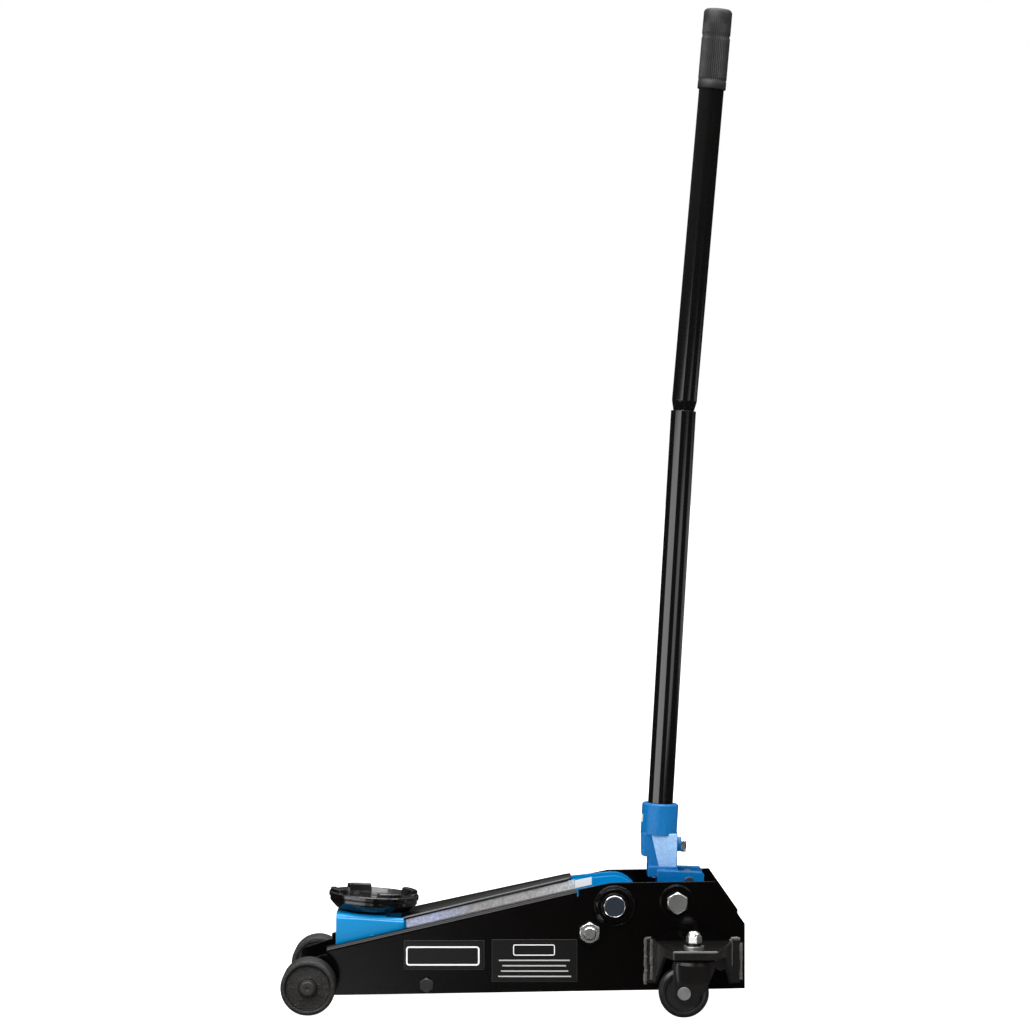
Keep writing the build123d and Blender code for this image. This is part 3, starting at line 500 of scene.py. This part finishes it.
up_grip = Vector((sin(UPPER_LEAN), 0, cos(UPPER_LEAN)))
across_grip = Vector((cos(UPPER_LEAN), 0, -sin(UPPER_LEAN)))
grip_end = (HANDLE_TOP - HANDLE_JOINT - GRIP_R * sin(UPPER_LEAN)) / cos(UPPER_LEAN)
grip_start = grip_end - GRIP_LENGTH
bore_top = (HANDLE_TOP - GRIP_CAP - HANDLE_JOINT) / cos(UPPER_LEAN) + CAP_GAP
groove = grip_end - 0.038
body_steps = [grip_start + 0.014 + i * RIB_PITCH for i in range(27)]
grip_outline = [
    (GRIP_BORE, bore_top), (GRIP_BORE, grip_start), (0.0192, grip_start), (0.01995, grip_start + 0.001),
    (0.01995, grip_start + 0.0105), (0.0188, grip_start + 0.0125)]
grip_outline += [(0.01945 if abs(step - groove) > 0.0015 else 0.0184, step) for step in body_steps]
grip_outline += [
    (0.0199, grip_end - 0.012), (0.0199, grip_end - 0.0046), (0.0188, grip_end - 0.0020),
    (0.0166, grip_end), (0.0060, grip_end), (0.0, grip_end), (0.0, bore_top)]
grip = spun(grip_outline, joint, up_grip, across_grip, RIB_COUNT * 4)
ahead = up_grip.cross(across_grip)
for vert in grip.verts:
    far = (vert.co - joint).dot(up_grip)
    out = vert.co - joint - up_grip * far
    if out.length > 0.0183 and grip_start + 0.0115 < far < grip_end - 0.0125:
        angle = atan2(out.dot(ahead), out.dot(across_grip)) + RIB_WAVE * sin(far * RIB_WAVE_PER_M)
        vert.co += out.normalized() * RIB_DEPTH * cos(angle * RIB_COUNT)
piece = finished(grip, "ribbed_grip", grip_rubber, "handle", crease=60)
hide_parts("handle_grip")

# ---------------------------------------------------------------- casters
# Pressed brackets welded to the side plates carry two swivel casters: a domed pressed fork on ball
# races, a moulded nylon wheel and a riveted axle. The welds are painted over in black.
# The beads' grey colour and pale edges are painted glints, over paint that is black.
weld_paint_glint = finish_of(
    "painted_weld_glint", (0.075, 0.07, 0.066), 0.17, 0.15, 700.0, 0.00025, edge_wear_and_glint=(0.22, 0.21, 0.20),
    edge=0.0006)
fork_black = finish_of(
    "fork_black", (0.0075, 0.0068, 0.0065), 0.24, 0.12, 300.0, 0.00004, edge_wear_and_glint=(0.03, 0.028, 0.027),
    edge=0.0009, Coat_Weight=0.3, Coat_Roughness=0.12)
coat(fork_black, "caster_bracket_right", "caster_bracket_left")
CASTER_X, CASTER_Y = 0.245, 0.150
CROWN_R, FORK_THICK = 0.029, 0.0033
CHEEK_GAP = 0.0180                             # from the fork's middle to a cheek at the axle
CHEEK_TOP, CHEEK_HEIGHT = 0.0770, 0.0550
SHOULDER, WAIST, TOE = 0.068, 0.066, 0.041     # heights where an edge changes course
BULGE_FOOT, BULGE_HEIGHT = 0.046, 0.028
BEAD_PITCH, BEAD_Y, BEAD_TOP = 0.0031, -0.0833, 0.0975         # on the edges of the brackets' tabs
UPRIGHT_BEADS = ((0.1815, 0.034, 0.098), (0.1900, 0.040, 0.096),
                 (0.2996, 0.060, 0.097), (0.3134, 0.040, 0.092))
LEVEL_BEADS = ((0.1815, 0.0085), (0.2996, 0.0125))
noise.seed_set(7)                              # so that the beads wander the same way on each run


def cheek_edges(z):
    """Both edges of a fork's cheek, in X, at height z."""
    shoulder = max(0.0, z - SHOULDER) / 0.009
    low = max(0.0, 0.0385 - z) / 0.0165
    left = 0.2163 + 0.0020 * shoulder + 0.0100 * low ** 2.6
    if z > WAIST:
        return left, 0.2725 - 0.0010 * shoulder
    if z > TOE:
        return left, 0.2725 - (WAIST - z) * 0.444
    return left, 0.2614 - 0.0184 * ((TOE - z) / 0.019) ** 1.5


def fork_cheek(out):
    """One cheek of a fork, bulged under the round crown. out is -1 for the outer one."""
    cheek = bmesh.new()
    bmesh.ops.create_grid(cheek, x_segments=26, y_segments=30, size=0.5)
    for vert in cheek.verts:
        z = CHEEK_TOP - (0.5 - vert.co.y) * CHEEK_HEIGHT
        left, right = cheek_edges(z)
        x = left + (right - left) * (vert.co.x + 0.5)
        rim = sqrt(max(0.0, CROWN_R ** 2 - (x - CASTER_X) ** 2))
        blend = min(1.0, max(0.0, (z - BULGE_FOOT) / BULGE_HEIGHT))
        blend = blend * blend * (3 - 2 * blend)
        y = CHEEK_GAP + max(0.0, rim - CHEEK_GAP) * blend
        vert.co = (x, -CASTER_Y + out * y, z)
    bmesh.ops.recalc_face_normals(cheek, faces=cheek.faces)
    if sum(face.normal.y for face in cheek.faces) * out < 0:
        bmesh.ops.reverse_faces(cheek, faces=cheek.faces)
    bmesh.ops.solidify(cheek, geom=list(cheek.faces), thickness=FORK_THICK)
    return cheek


def run_of_weld(start, end, width):
    """Straight bead of weld metal from start to end, raised in overlapping ripples."""
    shape = bmesh.new()
    start, way = Vector(start), Vector(end) - Vector(start)
    along = way.normalized()
    steps = round(way.length / BEAD_PITCH * 4)
    bmesh.ops.create_circle(
        shape, segments=10, radius=width,
        matrix=Matrix.Translation(start) @ along.to_track_quat("Z", "Y").to_matrix().to_4x4())
    bmesh.ops.spin(shape, geom=list(shape.verts) + list(shape.edges), cent=start, axis=along,
                   dvec=way / steps, angle=0, steps=steps)
    bmesh.ops.holes_fill(shape, edges=[e for e in shape.edges if e.is_boundary], sides=0)
    for vert in shape.verts:
        far = (vert.co - start).dot(along)
        out = vert.co - start - along * far
        fade = min(1.0, (far + width * 0.4) / width, (way.length - far + width * 0.4) / width)
        swell = 1 + 0.16 * abs(sin(pi * far / BEAD_PITCH)) + 0.45 * noise.noise(vert.co * 260)
        vert.co += out * (swell * sqrt(max(0.1, fade)) - 1)
        wander = noise.noise_vector(Vector((vert.co.x, 0, vert.co.z)) * 90)
        vert.co += wander * Vector((1, 0, 1)) * 0.0012
    return shape


crown_outline = [
    (0.0061, 0.0814), (0.0215, 0.0814), (0.0245, 0.0806), (0.0268, 0.0790), (0.0284, 0.0766),
    (CROWN_R, 0.0742), (CROWN_R, 0.0722), (0.0258, 0.0722), (0.0256, 0.0745), (0.0240, 0.0768),
    (0.0215, 0.0780), (0.0061, 0.0780)]
for side in ("left", "right"):
    crown = spun(crown_outline, (CASTER_X, -CASTER_Y, 0), (0, 0, 1), (1, 0, 0), 72)
    fork = joined(crown, fork_cheek(-1), fork_cheek(1))
    piece = finished(on_side(fork, side), f"fork_{side}", fork_black, f"caster_{side}", crease=40)
    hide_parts(f"caster_fork_{side}")
    beads = [run_of_weld((x, BEAD_Y, low), (x, BEAD_Y, high), 0.0022) for x, low, high in UPRIGHT_BEADS]
    beads += [run_of_weld((x, BEAD_Y, BEAD_TOP), (x + wide, BEAD_Y, BEAD_TOP), 0.0021)
              for x, wide in LEVEL_BEADS]
    finished(on_side(joined(*beads), side), f"bracket_weld_{side}", weld_paint_glint, "frame")
nylon = finish_of(
    "black_nylon", (0.010, 0.0095, 0.0095), 0.3, 0.12, 700.0, 0.00005, edge=0.001, tint=0.2)
coat(nylon, "caster_wheel_right", "caster_wheel_left")

# ---------------------------------------------------------------- fasteners and shafts
# Bright zinc nuts, bolts and washers, black oxide bolts on the spacer tube and the block, and shafts
# with blued faces and bright turned chamfers. The spring washers under the king nuts are dark.
zinc = finish_of(
    "bright_zinc", (0.78, 0.78, 0.76), 0.24, 0.18, 900.0, 0.00003, edge=0.0007, tint=0.12, Metallic=1.0)
coat(zinc, "anchor_nuts", "anchor_rod", "socket_bolts", "king_bolts", "king_nuts", "set_bolt",
     "filler_plug")
axle_zinc = finish_of(
    "axle_zinc", (0.72, 0.70, 0.69), 0.36, 0.2, 420.0, 0.0005, edge=0.0009, tint=0.25, blotch=160.0,
    Metallic=1.0)
coat(axle_zinc, "caster_axle_right", "caster_axle_left")
SPRING_WASHER_FOOT = 0.0968
washer = finish_of(
    "washer_zinc", (0.78, 0.78, 0.76), 0.3, 0.18, 900.0, 0.00003, edge=0.0005, Metallic=1.0)
washer_tree = washer.node_tree
height = put(washer_tree, "ShaderNodeSeparateXYZ", {
    0: put(washer_tree, "ShaderNodeTexCoord").outputs["Object"]}).outputs["Z"]
spring_washer = put(washer_tree, "ShaderNodeMath", {
    0: height, 1: SPRING_WASHER_FOOT}, operation="GREATER_THAN")
washer_shader = washer_tree.nodes["Principled BSDF"]
plain_colour = washer_shader.inputs["Base Color"].links[0].from_socket
two_tone = put(washer_tree, "ShaderNodeMix", {
    0: spring_washer.outputs[0], 6: plain_colour, 7: (0.045, 0.043, 0.042, 1.0)},
    data_type="RGBA")
washer_tree.links.new(two_tone.outputs[2], washer_shader.inputs["Base Color"])
coat(washer, "king_washers")
black_bolt = finish_of(
    "black_oxide", (0.018, 0.017, 0.017), 0.32, 0.2, 700.0, 0.00005, edge_wear_and_glint=(0.2, 0.2, 0.2), edge=0.0007)
coat(black_bolt, "tie_bolts", "block_bolts")
cap_black = finish_of(
    "cap_black", (0.020, 0.018, 0.017), 0.4, 0.2, 600.0, 0.0003, edge=0.001, tint=0.3)
coat(cap_black, "front_axle_caps")
blued = finish_of(
    "blued_shaft", (0.035, 0.045, 0.062), 0.34, 0.2, 500.0, 0.00006, edge_wear_and_glint=(0.62, 0.62, 0.62),
    edge=0.0011, tint=0.3, Metallic=0.6)
coat(blued, "arm_shaft")
turned_steel = finish_of(
    "turned_chamfer", (0.75, 0.75, 0.76), 0.22, 0.1, 900.0, 0.00002, edge=0.0003, Metallic=1.0)
chamfer_outline = [
    (0.0139, 0.0880), (0.0143, 0.0882), (0.0150, 0.0876), (0.0151, 0.0866), (0.0139, 0.0866)]
for side, away in (("left", -1), ("right", 1)):
    chamfer = spun(chamfer_outline, (ARM_PIVOT[0], 0, ARM_PIVOT[1]), (0, away, 0), (1, 0, 0), 96)
    finished(chamfer, f"shaft_chamfer_{side}", turned_steel, "frame")

# ---------------------------------------------------------------- studio
# Pale floor that glows a little, a pale surround that only the camera sees, and soft boxes. The
# surround that lights the jack is dim but for low reflectors in front, so black enamel stays black.
FLOOR_SIZE = 60.0
floor_mesh = bpy.data.meshes.new("studio_floor")
slab = bmesh.new()
bmesh.ops.create_grid(slab, x_segments=1, y_segments=1, size=FLOOR_SIZE)
slab.to_mesh(floor_mesh)
slab.free()
floor = bpy.data.objects.new("studio_floor", floor_mesh)
bpy.context.scene.collection.objects.link(floor)
floor.visible_glossy = False
floor_paint = bpy.data.materials.new("floor_paint")
floor_paint.use_nodes = True
floor_shader = floor_paint.node_tree.nodes["Principled BSDF"]
for key, value in (("Base Color", (0.5, 0.5, 0.5, 1.0)), ("Roughness", 0.9),
                   ("Specular IOR Level", 0.1), ("Emission Color", (1.0, 1.0, 1.0, 1.0))):
    floor_shader.inputs[key].default_value = value
floor_ray = put(floor_paint.node_tree, "ShaderNodeLightPath").outputs["Is Camera Ray"]
floor_glow = put(floor_paint.node_tree, "ShaderNodeMapRange", {
    "Value": floor_ray, "To Min": 0.5, "To Max": 1.0})
floor_paint.node_tree.links.new(floor_glow.outputs[0], floor_shader.inputs["Emission Strength"])
floor_mesh.materials.append(floor_paint)

world = bpy.data.worlds.new("studio")
bpy.context.scene.world = world
world.use_nodes = True
sky = world.node_tree
direction = put(sky, "ShaderNodeTexCoord").outputs["Generated"]
parts_of = put(sky, "ShaderNodeSeparateXYZ", {0: direction})
overhead = put(sky, "ShaderNodeMapRange", {
    "Value": parts_of.outputs["Z"], "From Min": 0.1, "From Max": 0.95, "To Min": 0.015, "To Max": 0.8})
front = put(sky, "ShaderNodeMath", {0: parts_of.outputs["Y"], 1: -1.0}, operation="MULTIPLY")
bearing = put(sky, "ShaderNodeMath", {
    0: parts_of.outputs["X"], 1: front.outputs[0]}, operation="ARCTAN2")


def ramp_between(source, start, end, low, high):
    """Smooth step from low to high as source goes from start to end."""
    return put(sky, "ShaderNodeMapRange", {
        "Value": source, "From Min": start, "From Max": end, "To Min": low, "To Max": high},
        interpolation_type="SMOOTHSTEP").outputs[0]


def band(source, marks, level):
    """Strength that fades in between the first two marks and out between the last two."""
    inward = ramp_between(source, marks[0], marks[1], 0.0, level)
    outward = ramp_between(source, marks[2], marks[3], 1.0, 0.0)
    return put(sky, "ShaderNodeMath", {0: inward, 1: outward}, operation="MULTIPLY").outputs[0]


# Bearings from straight ahead and elevations, both in degrees, and the strength of each reflector.
REFLECTORS = (
    ((-84, -74, -24, -18), (-6.6, -5.8, 2.6, 5.6), 2.9),
    ((16, 22, 40, 54), (-6.6, -5.8, -3.0, -0.6), 1.5),
    ((92, 98, 130, 150), (-6.6, -5.8, -3.4, -1.6), 0.5),
    ((-62, -40, -3.2, -0.9), (-14.0, -11.0, -7.8, -7.0), 2.0))
glow = overhead.outputs[0]
for bearings, heights, level in REFLECTORS:
    wide = band(bearing.outputs[0], [radians(angle) for angle in bearings], level)
    tall = band(parts_of.outputs["Z"], [sin(radians(angle)) for angle in heights], 1.0)
    glow = put(sky, "ShaderNodeMath", {0: wide, 1: tall, 2: glow}, operation="MULTIPLY_ADD").outputs[0]
ray = put(sky, "ShaderNodeLightPath")
seen = put(sky, "ShaderNodeMix", {0: ray.outputs["Is Camera Ray"], 2: glow, 3: 1.0}, data_type="FLOAT")
sky.nodes["Background"].inputs["Color"].default_value = (1.0, 1.0, 1.0, 1.0)
sky.links.new(seen.outputs[0], sky.nodes["Background"].inputs["Strength"])


def soft_box(name, place, target, size, power):
    """Rectangular lamp that faces a point."""
    lamp = bpy.data.lights.new(name, "AREA")
    lamp.shape = "RECTANGLE"
    lamp.size, lamp.size_y = size
    lamp.energy = power
    box = bpy.data.objects.new(name, lamp)
    box.location = place
    box.rotation_euler = (Vector(target) - Vector(place)).to_track_quat("-Z", "Y").to_euler()
    bpy.context.scene.collection.objects.link(box)


soft_box("overhead", (0.0, -0.5, 3.6), (0, 0, 0.1), (3.2, 2.4), 120.0)
soft_box("front_window", (-0.8, -4.4, 3.4), (0, 0, 0.2), (2.6, 1.2), 130.0)
soft_box("left_window", (-3.0, -1.6, 3.6), (0, 0, 0.3), (1.6, 1.6), 60.0)
soft_box("right_window", (3.0, -0.6, 3.6), (0.1, 0, 0.4), (1.6, 1.6), 40.0)
soft_box("back_window", (0.3, 2.6, 4.2), (0.0, 0, 0.3), (2.4, 1.4), 50.0)

EYE = (0.0, -4.908, 0.752)
LENS = 122.6
DIP = 0.812                # degrees that the camera looks down
camera = bpy.data.cameras.new("camera")
camera.lens = LENS
camera.sensor_width = 36.0
view = bpy.data.objects.new("camera", camera)
view.location = EYE
view.rotation_euler = (radians(90 - DIP), 0, 0)
bpy.context.scene.collection.objects.link(view)
bpy.context.scene.camera = view
bpy.context.scene.view_settings.view_transform = "Standard"
